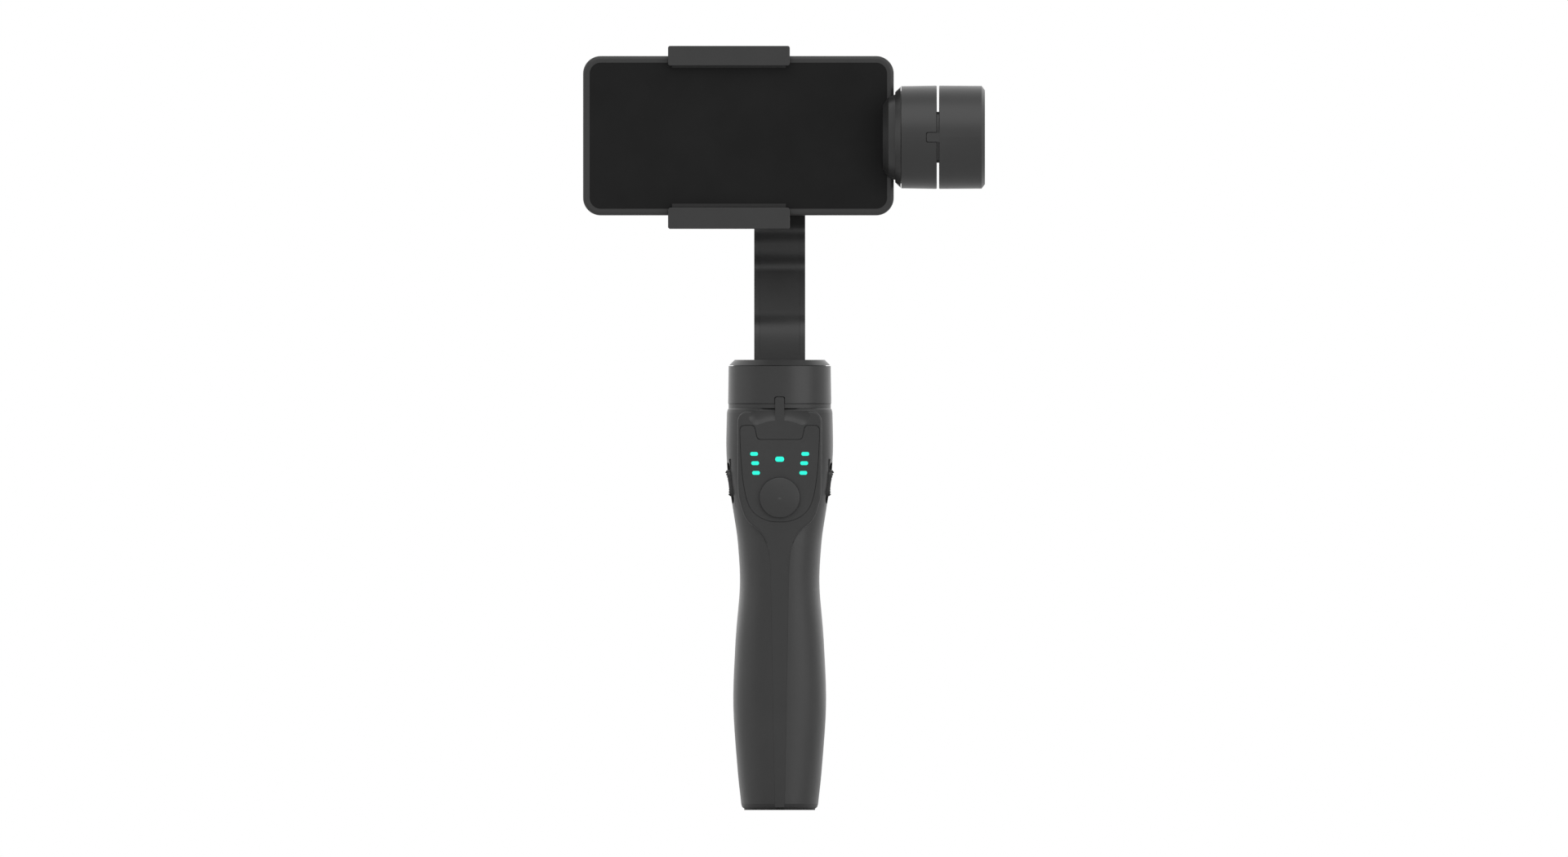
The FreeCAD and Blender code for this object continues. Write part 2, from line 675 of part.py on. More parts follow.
def front_cover():
    whole = plate_from(cover_outline(0), front_plane, cover_thickness)
    shield_room = box((-40, -60, grip_height + 9), (40, 60, shoulder_z + 40))
    shield = softened(whole.common(shield_room), cover_edge,
                      lambda c: abs(c.y - front_plane) < 0.01 and c.z > grip_height + 9.1)
    plate = fuse([whole.cut(shield_room), shield.cut(shield_scoop())])
    rim = plate_from(cover_outline(0), cover_back, rim_depth).cut(
        plate_from(cover_outline(-rim_width), cover_back - 1, rim_depth + 2))
    rim = rim.common(box((-30, -40, grip_height + 2), (30, 0, shoulder_z))).cut(handle_outer())
    fin = key_fin(0, key_rise)
    cover = fuse([plate, fin] + rim.Solids)
    pocket = fascia_plate(fascia_fit, front_plane - 1, fascia_thickness + 1)
    cuts = [pocket, joystick_hole(front_plane - 1, 0)] + led_bars(0.05, front_plane - 2, 0)
    return cover.cut(Part.makeCompound(cuts))


def control_fascia():
    plate = fascia_plate(0, front_plane, fascia_thickness)
    return plate.cut(Part.makeCompound([joystick_hole(front_plane - 1, 0)] + led_bars(0.05, front_plane - 2, 0)))


def pan_seat():
    spigot = neck_radius - 0.1
    rim = can_radius - seat_inset
    ring = revolve([(4.5, shoulder_z - 4.0), (spigot, shoulder_z - 4.0), (spigot, shoulder_z), (rim, shoulder_z),
                    (rim, pan_can_z), (4.5, pan_can_z)])
    return ring.cut(key_fin(seam, key_rise))


# --- motors ---------------------------------------------------------------------------------------------------
def motor_can(length, notch_depth):
    """Stator housing in its own frame: keyed face at z 0, rotor beyond z = length, notch on +X."""
    inner = can_radius - can_wall
    hub_top = length - 3.0
    can = revolve([(4.6, 0), (can_radius - 0.3, 0), (can_radius, 0.3), (can_radius - can_draft, length),
                   (inner, length), (inner, can_floor), (hub_radius, can_floor), (hub_radius, hub_top),
                   (bearing_radius, hub_top), (bearing_radius, 1.0), (4.6, 1.0)])
    half = key_half_width + key_fit
    notch = box((inner - 1.0, -half, -1), (can_radius + 1, half, notch_depth))
    return can.cut(softened(notch, key_corner, lambda c: abs(c.z - notch_depth) < 0.01 and abs(abs(c.y) - half) < 0.01))


def motor_stator(length):
    low = 5.0
    high = length - 5.2
    tip = stator_radius - tooth_tip
    ring = cylinder(hub_radius + 2.5, (0, 0, low), (0, 0, high))
    rim = cylinder(stator_radius, (0, 0, low), (0, 0, high)).cut(cylinder(tip, (0, 0, low), (0, 0, high)))
    teeth = []
    slots = []
    for index in range(tooth_count):
        angle = 360.0 * index / tooth_count
        tooth = box((hub_radius + 2, -tooth_width / 2, low), (tip + 0.4, tooth_width / 2, high))
        tooth.rotate(V(0, 0, 0), V(0, 0, 1), angle)
        teeth.append(tooth)
        slot = box((tip - 1, -0.8, low - 1), (stator_radius + 1, 0.8, high + 1))
        slot.rotate(V(0, 0, 0), V(0, 0, 1), angle + 180.0 / tooth_count)
        slots.append(slot)
    core = fuse([ring, rim.cut(Part.makeCompound(slots))] + teeth)
    return core.cut(cylinder(hub_radius, (0, 0, 0), (0, 0, length)))


def motor_coils(length):
    """A winding round each tooth, between the ring and the tooth's tip."""
    coils = []
    inner = hub_radius + 3.1
    outer = stator_radius - tooth_tip - 0.2
    for index in range(tooth_count):
        coil = box((inner, -coil_width / 2, 4.0), (outer, coil_width / 2, length - 4.2))
        coil = coil.cut(box((inner - 1, -tooth_width / 2, 5.0), (outer + 1, tooth_width / 2, length - 5.2)))
        coil.rotate(V(0, 0, 0), V(0, 0, 1), 360.0 * index / tooth_count)
        coils.append(coil)
    return Part.makeCompound(coils)


def motor_bearings(length):
    inner = shaft_radius + running_clearance
    rings = []
    for low in (1.0, length - 3.0 - bearing_width):
        rings.append(revolve([(inner, low), (bearing_radius, low), (bearing_radius, low + bearing_width),
                              (4.4, low + bearing_width), (4.4, low + bearing_width - 0.3),
                              (3.5, low + bearing_width - 0.3), (3.5, low + bearing_width),
                              (inner, low + bearing_width)]))
    return Part.makeCompound(rings)


def motor_rotor(length):
    low = length + rotor_gap
    high = low + rotor_thickness
    rim = rotor_face_radius + rotor_thickness
    inner = skirt_radius - skirt_wall
    return revolve([(shaft_radius, length - 2.6), (4.0, length - 2.6), (4.0, low), (inner, low), (inner, 3.2),
                    (skirt_radius, 3.2), (skirt_radius, low), (rim, low), (rotor_face_radius, high),
                    (shaft_radius, high)])


def motor_magnets(length):
    outer = skirt_radius - skirt_wall
    ring = revolve([(outer - magnet_thickness, 4.0), (outer, 4.0), (outer, length - 4.0),
                    (outer - magnet_thickness, length - 4.0)])
    gaps = []
    for index in range(magnet_count):
        gap = box((outer - 3, -0.25, 0), (outer + 3, 0.25, length))
        gap.rotate(V(0, 0, 0), V(0, 0, 1), 360.0 * index / magnet_count)
        gaps.append(gap)
    return ring.cut(Part.makeCompound(gaps))


def motor_shaft(length):
    return cylinder(shaft_radius, (0, 0, 1.4), (0, 0, length + rotor_gap + rotor_thickness))


def motor(name, length, notch_depth, placement, flange=None, holes=None):
    """Write the seven pieces of a motor; a flange is one piece with its rotor, and holes are cut in it."""
    rotor = motor_rotor(length)
    if flange is not None:
        rotor = fuse([rotor, flange])
    if holes is not None:
        rotor = rotor.cut(placed(holes, placement.inverse()))
    pieces = {"can": motor_can(length, notch_depth), "stator": motor_stator(length), "coils": motor_coils(length),
              "bearings": motor_bearings(length), "rotor": rotor, "magnets": motor_magnets(length),
              "shaft": motor_shaft(length)}
    for piece, shape in pieces.items():
        export(placed(shape, placement), name + "_" + piece)


def end_housing(depth, placement):
    """Outer shape and hollow of a housing keyed to a can, as two shapes placed in the model."""
    far = -housing_gap - depth
    near = -housing_gap
    outer = revolve([(0, far + housing_cap_thickness), (can_radius - 0.1, far + housing_cap_thickness),
                     (can_radius, near - 0.3), (can_radius - 0.3, near), (0, near)])
    neck = cylinder(can_radius - 1.0, (0, 0, near), (0, 0, 0)).common(
        box((-can_radius, -neck_half_width, near), (can_radius, neck_half_width, 0)))
    tab = box((can_radius - can_wall + 0.05, -key_half_width, near - 1.0),
              (can_radius - 0.1, key_half_width, tab_reach))
    tab = softened(tab, key_corner, lambda c: abs(c.z - tab_reach) < 0.01 and abs(abs(c.y) - key_half_width) < 0.01)
    hollow = fuse([cylinder(can_radius - can_wall, (0, 0, far - 1), (0, 0, near - 2.4)),
                   cylinder(4.6, (0, 0, far - 1), (0, 0, 1))])
    return placed(fuse([outer, neck, tab]), placement), placed(hollow, placement)


def end_cap(depth, placement):
    far = -housing_gap - depth
    seat = far + housing_cap_thickness
    cap = revolve([(0, far), (can_radius - 2.1, far), (can_radius - 0.1, far + 1.5), (can_radius - 0.1, seat),
                   (can_radius - can_wall - 0.1, seat), (can_radius - can_wall - 0.1, seat + 2.0),
                   (can_radius - can_wall - 1.5, seat + 2.0), (can_radius - can_wall - 1.5, seat), (0, seat)])
    return placed(cap, placement)


# --- arms -----------------------------------------------------------------------------------------------------
def strap_face(points, radii, near, far):
    """Face between two offsets of a filleted path; points lie in the plane X = 0 and offsets are to its left."""
    along = V(1, 0, 0)
    corners = []
    for i in range(1, len(points) - 1):
        before = (points[i] - points[i - 1]).normalize()
        after = (points[i + 1] - points[i]).normalize()
        radius = radii[i - 1]
        tangent = radius * math.tan(before.getAngle(after) / 2)
        side = 1 if before.cross(after).dot(along) > 0 else -1
        start = points[i] - before * tangent
        centre = start + along.cross(before) * side * radius
        corners.append((start, points[i] + after * tangent, centre, along.cross(before), along.cross(after), side))

    def rail(offset):
        first = (points[1] - points[0]).normalize()
        last = (points[-1] - points[-2]).normalize()
        place = points[0] + along.cross(first) * offset
        edges = []
        for index, (start, end, centre, left_before, left_after, side) in enumerate(corners):
            arc_start = start + left_before * offset
            arc_end = end + left_after * offset
            reach = (radii[index] - side * offset) * side
            middle = centre - (left_before + left_after).normalize() * reach
            edges.append(Part.makeLine(place, arc_start))
            edges.append(Part.Arc(arc_start, middle, arc_end).toShape())
            place = arc_end
        finish = points[-1] + along.cross(last) * offset
        edges.append(Part.makeLine(place, finish))
        return edges, points[0] + along.cross(first) * offset, finish

    near_edges, near_start, near_end = rail(near)
    far_edges, far_start, far_end = rail(far)
    ends = [Part.makeLine(near_start, far_start), Part.makeLine(near_end, far_end)]
    return Part.Face(Part.Wire(Part.__sortEdges__(near_edges + far_edges + ends)))


def strap(points, radii, near, far, half_width):
    body = strap_face(points, radii, near, far).extrude(V(2 * half_width, 0, 0))
    body.translate(V(-half_width, 0, 0))
    return body


roll_frame = frame_at((0, roll_can_y, roll_axis_z), (0, 0, 1), (0, -1, 0))
tilt_frame = frame_at((tilt_gap_x, tilt_axis_y, roll_axis_z), (0, -1, 0), (-1, 0, 0))
pan_frame = frame_at((0, 0, pan_can_z), (0, -1, 0), (0, 0, 1))
roll_housing_y = roll_can_y + housing_gap + (roll_housing_depth - housing_cap_thickness) / 2
arm_radii = [16.0, 16.0, 7.0, 7.0]
top_bend_z = roll_axis_z - can_radius - 4.2
arm_foot_height = 3.0
arm_screw_places = [(x, y) for x in (-8.0, 8.0) for y in (10.5, 14.0)]


def pan_arm_path(top):
    """S-bend from over the pan motor, back and up behind the phone, then back again to the roll housing."""
    return [V(0, arm_foot_y, pan_face_z), V(0, arm_foot_y, pan_face_z + 14.5),
            V(0, arm_knee_y, top_bend_z - 31.2), V(0, arm_knee_y, top_bend_z - 17.0),
            V(0, roll_housing_y, top_bend_z), V(0, roll_housing_y, top)]


def pan_arm():
    half = arm_thickness / 2
    body = strap(pan_arm_path(roll_axis_z - 14.0), arm_radii, -half, half, arm_half_width)
    foot = rounded_box((-arm_half_width, arm_foot_y - half, pan_face_z),
                       (arm_half_width, arm_foot_y + 15.0, pan_face_z + arm_foot_height), 3.0, 2)
    outer, hollow = end_housing(roll_housing_depth, roll_frame)
    frame = fuse([body, foot, outer])
    recess = strap(pan_cover_path(), arm_radii[:3], half - arm_cover_thickness, half + 1, arm_cover_half_width + seam)
    heads = [cylinder(screw_head_radius + 0.1, (x, y, pan_face_z + arm_foot_height - screw_head_height),
                      (x, y, pan_face_z + arm_foot_height + 2)) for x, y in arm_screw_places]
    return frame.cut(Part.makeCompound([hollow, recess, arm_screw_holes()] + heads))


def arm_screw_holes():
    return Part.makeCompound([cylinder(screw_radius + 0.02, (x, y, pan_face_z - rotor_thickness - 1),
                                       (x, y, pan_face_z + arm_foot_height + 1)) for x, y in arm_screw_places])


def pan_cover_path():
    path = pan_arm_path(roll_axis_z)[:5]
    path[0] = path[0] + V(0, 0, 2.0)
    path[4] = path[3] + (path[4] - path[3]) * 0.55
    return path


def pan_arm_cover():
    half = arm_thickness / 2
    return strap(pan_cover_path(), arm_radii[:3], half - arm_cover_thickness, half, arm_cover_half_width)


def arm_screws():
    head_z = pan_face_z + arm_foot_height - screw_head_height
    return Part.makeCompound([screw((x, y, head_z), (0, 0, -1), 4.0) for x, y in arm_screw_places])


roll_strap_frame = frame_at((0, 0, roll_axis_z), (0, 0, 1), (0, 1, 0))
elbow_x = tilt_gap_x + housing_gap + tilt_housing_depth - 7.5


def roll_arm_path(start_x, end_y):
    middle = roll_arm_front + roll_arm_thickness / 2
    return [V(0, start_x, middle), V(0, elbow_x, middle), V(0, elbow_x, end_y)]


elbow_radius = 9.0


def roll_arm():
    half = roll_arm_thickness / 2
    body = placed(strap(roll_arm_path(0, tilt_axis_y + 16), [elbow_radius], -half, half, arm_half_width),
                  roll_strap_frame)
    hub = placed(revolve([(0, 0), (rotor_face_radius, 0), (rotor_face_radius, roll_arm_thickness - 1.0),
                          (rotor_face_radius - 1.0, roll_arm_thickness), (0, roll_arm_thickness)]),
                 frame_at((0, roll_arm_back, roll_axis_z), (1, 0, 0), (0, -1, 0)))
    outer, hollow = end_housing(tilt_housing_depth, tilt_frame)
    frame = fuse([body, hub, outer])
    recess = placed(strap(roll_cover_path(), [elbow_radius], half - arm_cover_thickness, half + 1,
                          arm_cover_half_width + seam), roll_strap_frame)
    return frame.cut(Part.makeCompound([hollow, recess]))


def roll_cover_path():
    return roll_arm_path(can_radius + 3.0, tilt_axis_y + can_radius + 5.0)


def roll_arm_cover():
    half = roll_arm_thickness / 2
    return placed(strap(roll_cover_path(), [elbow_radius], half - arm_cover_thickness, half, arm_cover_half_width),
                  roll_strap_frame)


# --- clamp and phone ------------------------------------------------------------------------------------------
rotor_face_x = tilt_gap_x - tilt_can_length - rotor_gap - rotor_thickness
clamp_back_y = clamp_front_y + clamp_depth
clamp_middle_x = (clamp_left + clamp_right) / 2
rod_xs = (clamp_middle_x - rod_spread, clamp_middle_x + rod_spread)
rod_y = (clamp_front_y + clamp_back_y) / 2
lip_front_y = phone_front_y - phone_clearance - pad_thickness - jaw_lip
lip_back_y = phone_front_y - phone_clearance - pad_thickness
jaw_low_z = phone_bottom - phone_clearance - pad_thickness
jaw_high_z = phone_top + phone_clearance + pad_thickness
clamp_low_z = jaw_low_z
clamp_high_z = phone_top - 3.0
chamber_radius = 2.95
chamber_top = clamp_high_z - 12.0
collar_low = clamp_low_z + 8.0
collar_height = 1.4


def tilt_flange_cone():
    profile = revolve([(0, 0), (rotor_face_radius - 1.0, 0), (flange_mid_radius, 3.0),
                       (flange_small_radius, flange_length), (0, flange_length)])
    return placed(profile, frame_at((rotor_face_x, tilt_axis_y, roll_axis_z), (0, -1, 0), (-1, 0, 0)))


def tilt_end_stop():
    """Front half of the flange cone, one piece with the rotor; the phone's end lies behind it."""
    cone = tilt_flange_cone()
    room = box((0, phone_front_y - end_clearance, 200), (rotor_face_x, 60, roll_axis_z + 60))
    stop = cone.cut(room)
    return placed(stop, tilt_frame.inverse())


def clamp_bracket():
    """Back half of the flange cone, arm behind the phone and the plate that screws to the clamp."""
    cone = tilt_flange_cone().common(box((0, clamp_front_y, 200), (100, 60, roll_axis_z + 60)))
    low = V(clamp_right, 0, roll_axis_z)
    outline = Part.makePolygon([low + V(0, 0, -13), low + V(rotor_face_x - 5, 0, -9), low + V(rotor_face_x, 0, -9),
                                low + V(rotor_face_x, 0, 9), low + V(rotor_face_x - 5, 0, 9), low + V(0, 0, 13),
                                low + V(0, 0, -13)])
    arm = Part.Face(outline).extrude(V(0, clamp_depth, 0))
    arm.translate(V(0, clamp_front_y, 0))
    plate = rounded_box((clamp_right - 13, clamp_back_y, roll_axis_z - 13),
                        (clamp_right + 8, clamp_back_y + 2.4, roll_axis_z + 13), 3.0, 1)
    bracket = fuse([cone, arm, plate])
    holes = []
    for z in clamp_screw_zs:
        holes.append(cylinder(screw_radius + 0.02, (clamp_screw_x, 0, z), (clamp_screw_x, -60, z)))
        holes.append(cylinder(screw_head_radius + 0.1, (clamp_screw_x, clamp_back_y + 1.2, z), (clamp_screw_x, 0, z)))
    return bracket.cut(Part.makeCompound(holes))


clamp_screw_x = clamp_right - 3.0
clamp_screw_zs = (roll_axis_z - 8.5, roll_axis_z + 8.5)
clamp_screw_length = 6.0
jaw_screw_xs = (clamp_middle_x - 3.0, clamp_middle_x + 3.0)


def clamp_body():
    body = rounded_box((clamp_left, clamp_front_y, clamp_low_z), (clamp_right, clamp_back_y, clamp_high_z), 1.5, 2)
    cuts = []
    for x in rod_xs:
        cuts.append(cylinder(chamber_radius, (x, rod_y, clamp_low_z - 1), (x, rod_y, chamber_top)))
        cuts.append(cylinder(rod_radius + running_clearance, (x, rod_y, chamber_top - 1), (x, rod_y, clamp_high_z + 1)))
    for x in jaw_screw_xs:
        cuts.append(cylinder(screw_radius + 0.02, (x, rod_y, clamp_low_z - 1), (x, rod_y, clamp_low_z + 7)))
    for z in clamp_screw_zs:
        cuts.append(cylinder(screw_radius + 0.02, (clamp_screw_x, 0, z), (clamp_screw_x, clamp_back_y - 6, z)))
    return body.cut(Part.makeCompound(cuts))


def clamp_screws():
    screws = [screw((clamp_screw_x, clamp_back_y + 1.2, z), (0, -1, 0), clamp_screw_length) for z in clamp_screw_zs]
    screws += [screw((x, rod_y, jaw_low_z - 3.0), (0, 0, 1), clamp_screw_length + 3.0) for x in jaw_screw_xs]
    return Part.makeCompound(screws)


def jaw(near, far, lip_end, chamfer):
    """L-shaped jaw along the phone's edge: plate from near to far, lip over the phone's face to lip_end."""
    outward = 1 if far > near else -1
    points = [V(0, lip_front_y, lip_end), V(0, lip_back_y, lip_end), V(0, lip_back_y, near), V(0, clamp_back_y, near),
              V(0, clamp_back_y, far - outward * chamfer), V(0, clamp_back_y - chamfer, far), V(0, lip_front_y, far)]
    body = Part.Face(Part.makePolygon(points + [points[0]])).extrude(V(jaw_right - jaw_left, 0, 0))
    body.translate(V(jaw_left, 0, 0))
    ends = (jaw_left, jaw_right)
    body = softened(body, 1.0, lambda c: min(abs(c.x - x) for x in ends) < 0.01 and
                    lip_front_y < c.y and min(abs(c.z - far), abs(c.z - lip_end)) < 0.01)
    return softened(body, 0.4, lambda c: abs(c.y - lip_front_y) < 0.01)


def lower_jaw():
    body = jaw(jaw_low_z, jaw_low_z - lower_jaw_plate, phone_bottom + jaw_lip_overlap - 0.9, 1.6)
    cuts = []
    for x in jaw_screw_xs:
        cuts.append(cylinder(screw_radius + 0.02, (x, rod_y, 0), (x, rod_y, jaw_low_z + 1)))
        cuts.append(cylinder(screw_head_radius + 0.1, (x, rod_y, 0), (x, rod_y, jaw_low_z - 3.0)))
    return body.cut(Part.makeCompound(cuts))


def upper_jaw():
    body = jaw(jaw_high_z, jaw_high_z + jaw_plate, phone_top - jaw_lip_overlap, 3.4)
    sockets = [cylinder(rod_radius + 0.02, (x, rod_y, jaw_high_z - 1), (x, rod_y, jaw_high_z + 2.4)) for x in rod_xs]
    return body.cut(Part.makeCompound(sockets))


def jaw_pad(edge, direction):
    """Rubber lining of a jaw: a strip under the plate and a strip behind the lip that shows below it."""
    inset = 1.8
    gap = phone_clearance
    side = edge + direction * gap
    out = edge + direction * (gap + pad_thickness)
    tip = edge - direction * (jaw_lip_overlap + 0.9)
    plate = box((jaw_left + inset, lip_back_y, min(side, out)), (jaw_right - inset, clamp_front_y, max(side, out)))
    lip = box((jaw_left + inset, lip_back_y, min(tip, out)),
              (jaw_right - inset, lip_back_y + pad_thickness, max(tip, out)))
    return fuse([plate, lip])


def guide_rods():
    rods = []
    for x in rod_xs:
        rod = cylinder(rod_radius, (x, rod_y, collar_low - 1.5), (x, rod_y, jaw_high_z + 2.4))
        collar = cylinder(2.6, (x, rod_y, collar_low), (x, rod_y, collar_low + collar_height))
        rods.append(rod.fuse(collar).removeSplitter())
    return Part.makeCompound(rods)


def clamp_springs():
    low = collar_low + collar_height + spring_wire + 0.05
    high = chamber_top - spring_wire - 0.05
    mean_radius = 2.2
    springs = []
    for x in rod_xs:
        helix = Part.makeHelix((high - low) / spring_turns, high - low, mean_radius)
        start = helix.Edges[0].firstVertex().Point
        section = Part.Wire(Part.makeCircle(spring_wire, start, V(0, 1, 0)))
        coil = Part.Wire(helix.Edges).makePipeShell([section], True, True)
        coil.translate(V(x, rod_y, low))
        springs.append(coil)
    return Part.makeCompound(springs)


def phone_body():
    slab = rounded_box((phone_left, phone_front_y, phone_bottom), (phone_right, phone_back_y, phone_top),
                       phone_corner, 1)
    body = softened(slab, 1.6, lambda c: abs(c.y - phone_front_y) < 0.01 or abs(c.y - phone_back_y) < 0.01)
    inset = bezel
    pocket = rounded_box((phone_left + inset, phone_front_y - 1, phone_bottom + inset),
                         (phone_right - inset, phone_front_y + glass_thickness, phone_top - inset),
                         phone_corner - bezel, 1)
    camera = rounded_box((phone_left + 8, phone_back_y - 1, phone_top - 30),
                         (phone_left + 26, phone_back_y + 0.9, phone_top - 8), 4.0, 1)
    return body.cut(pocket).fuse(camera).removeSplitter()


def phone_glass():
    gap = 0.05
    inset = bezel + gap
    return rounded_box((phone_left + inset, phone_front_y + 0.05, phone_bottom + inset),
                       (phone_right - inset, phone_front_y + glass_thickness, phone_top - inset),
                       phone_corner - bezel - gap, 1)


def main():
    os.makedirs("parts", exist_ok=True)
    left, right = handle_shells()
    export(left, "handle_shell_left")
    export(right, "handle_shell_right")
    export(front_cover(), "front_cover")
    export(control_fascia(), "control_fascia")
    export(Part.makeCompound(led_bars(0, front_plane, -19.6)), "led_lenses")
    sliders = [(1, "mode_slider"), (-1, "zoom_slider")]
    export(Part.makeCompound([placed(slider_tray(), slider_frame(side)) for side, name in sliders]), "slider_trays")
    for side, name in sliders:
        export(placed(slider_cap(), slider_frame(side)), name)
    export(joystick_module(), "joystick_module")
    export(joystick_carriage(), "joystick_carriage")
    export(joystick_cap(), "joystick_cap")
    export(control_board(), "control_board")
    export(main_board(), "main_board")
    export(usb_port(), "usb_port")
    export(battery_cradle(), "battery_cradle")
    export(battery_cells(), "battery_cells")
    export(battery_contacts(), "battery_contacts")
    export(base_cap(), "base_cap")
    export(tripod_insert(), "tripod_insert")
    export(handle_screws(), "handle_screws")
    export(pan_seat(), "pan_seat")

    motor("pan", pan_can_length, key_rise + key_fit, pan_frame, holes=arm_screw_holes())
    motor("roll", roll_can_length, tab_reach + key_fit, roll_frame)
    motor("tilt", tilt_can_length, tab_reach + key_fit, tilt_frame, tilt_end_stop())

    export(pan_arm(), "pan_arm_frame")
    export(pan_arm_cover(), "pan_arm_cover")
    export(arm_screws(), "arm_screws")
    export(end_cap(roll_housing_depth, roll_frame), "roll_housing_cap")
    export(roll_arm(), "roll_arm_frame")
    export(roll_arm_cover(), "roll_arm_cover")
    export(end_cap(tilt_housing_depth, tilt_frame), "tilt_housing_cap")

    export(clamp_bracket(), "clamp_bracket")
    export(clamp_body(), "clamp_body")
    export(lower_jaw(), "lower_jaw")
    export(jaw_pad(phone_bottom, -1), "lower_pad")
    export(clamp_screws(), "clamp_screws")
    export(upper_jaw(), "upper_jaw")
    export(jaw_pad(phone_top, 1), "upper_pad")
    export(guide_rods(), "guide_rods")
    export(clamp_springs(), "clamp_springs")
    export(phone_body(), "phone_body")
    export(phone_glass(), "phone_glass")


main()
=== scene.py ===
import bpy
import json
import math
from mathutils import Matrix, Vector

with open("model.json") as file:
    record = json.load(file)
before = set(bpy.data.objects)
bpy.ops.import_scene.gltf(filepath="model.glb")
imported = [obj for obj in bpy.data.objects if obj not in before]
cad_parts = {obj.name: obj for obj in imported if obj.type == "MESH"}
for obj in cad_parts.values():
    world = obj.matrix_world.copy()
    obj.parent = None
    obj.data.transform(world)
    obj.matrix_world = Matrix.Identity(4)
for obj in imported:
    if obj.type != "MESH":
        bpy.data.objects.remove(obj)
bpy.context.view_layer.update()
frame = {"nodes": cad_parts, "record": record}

# Colour, cloudiness and grain of the materials.
GREY = 0.021                 # linear grey that the housings, the arms and the phone's case start from
NOISE_MIDDLE = (0.3, 0.7)    # the range of a noise that a ramp spreads out
CLOUD_SCALE = 55.0           # noise cells per metre in the faint cloudiness of colour and gloss
CLOUD_SHADES = (0.93, 1.07)  # darkest and lightest share of a plastic's colour
GLOSS_SWING = 0.03           # how far the cloudiness moves the roughness of plastic, either way
METAL_GRAIN_SCALE = 900.0
METAL_SHADES = (0.9, 1.06)
METAL_GLOSS_SWING = 0.06
LENS_GRAIN_SCALE = 700.0
LENS_GLOW_SHADES = (0.96, 1.0)
LENS_SURFACE_SHADES = (0.1, 0.12)


# --- materials ------------------------------------------------------------------------------------
def new_material(name):
    material = bpy.data.materials.new(name)
    material.use_nodes = True
    nodes = material.node_tree.nodes
    return material, nodes, material.node_tree.links, nodes["Principled BSDF"]


def grain(nodes, links, scale, detail=3.0):
    """Noise in object space, so that it is the same size on every piece."""
    place = nodes.new("ShaderNodeTexCoord")
    noise = nodes.new("ShaderNodeTexNoise")
    noise.inputs["Scale"].default_value = scale
    noise.inputs["Detail"].default_value = detail
    links.new(place.outputs["Object"], noise.inputs["Vector"])
    return noise


def shades_of(colour, factors):
    """The darkest and the lightest shade of a colour."""
    return [tuple(channel * factor for channel in colour) for factor in factors]


def ramp(nodes, links, source, low, high):
    """Spread the middle of a noise over a range of grey or colour."""
    node = nodes.new("ShaderNodeValToRGB")
    for element, position, shade in zip(node.color_ramp.elements, NOISE_MIDDLE, (low, high)):
        element.position = position
        element.color = (*shade, 1)
    links.new(source, node.inputs["Fac"])
    return node.outputs["Color"]


def bump(nodes, links, shader, height, distance, strength=1.0):
    node = nodes.new("ShaderNodeBump")
    node.inputs["Distance"].default_value = distance
    node.inputs["Strength"].default_value = strength
    links.new(height, node.inputs["Height"])
    links.new(node.outputs["Normal"], shader.inputs["Normal"])


def moulded_plastic(name, colour, rough, specular=0.5, texture=2600.0, depth=0.000012):
    """Spark-eroded plastic: fine grain in the surface, faint cloudiness in colour and gloss."""
    material, nodes, links, shader = new_material(name)
    shader.inputs["Specular IOR Level"].default_value = specular
    cloud = grain(nodes, links, CLOUD_SCALE)
    links.new(ramp(nodes, links, cloud.outputs["Fac"], *shades_of(colour, CLOUD_SHADES)),
              shader.inputs["Base Color"])
    links.new(ramp(nodes, links, cloud.outputs["Fac"], (rough - GLOSS_SWING,) * 3,
                   (rough + GLOSS_SWING,) * 3), shader.inputs["Roughness"])
    fine = grain(nodes, links, texture, 2.0)
    bump(nodes, links, shader, fine.outputs["Fac"], depth, 0.6)
    return material


def metal(name, colour, rough, stretch=(1, 1, 1)):
    """Machined metal with fine turning marks."""
    material, nodes, links, shader = new_material(name)
    shader.inputs["Metallic"].default_value = 1.0
    place = nodes.new("ShaderNodeTexCoord")
    mapping = nodes.new("ShaderNodeMapping")
    mapping.inputs["Scale"].default_value = stretch
    noise = nodes.new("ShaderNodeTexNoise")
    noise.inputs["Scale"].default_value = METAL_GRAIN_SCALE
    links.new(place.outputs["Object"], mapping.inputs["Vector"])
    links.new(mapping.outputs["Vector"], noise.inputs["Vector"])
    links.new(ramp(nodes, links, noise.outputs["Fac"], *shades_of(colour, METAL_SHADES)),
              shader.inputs["Base Color"])
    links.new(ramp(nodes, links, noise.outputs["Fac"], (rough - METAL_GLOSS_SWING,) * 3,
                   (rough + METAL_GLOSS_SWING,) * 3), shader.inputs["Roughness"])
    bump(nodes, links, shader, noise.outputs["Fac"], 0.000008, 0.5)
    return material


def lamp_lens(name, colour, power):
    """A small lens that glows by itself, with a dull surface."""
    material, nodes, links, shader = new_material(name)
    glow = grain(nodes, links, LENS_GRAIN_SCALE)
    links.new(ramp(nodes, links, glow.outputs["Fac"], *shades_of(colour, LENS_GLOW_SHADES)),
              shader.inputs["Emission Color"])
    links.new(ramp(nodes, links, glow.outputs["Fac"], *shades_of(colour, LENS_SURFACE_SHADES)),
              shader.inputs["Base Color"])
    shader.inputs["Emission Strength"].default_value = power
    shader.inputs["Specular IOR Level"].default_value = 0.1
    return material


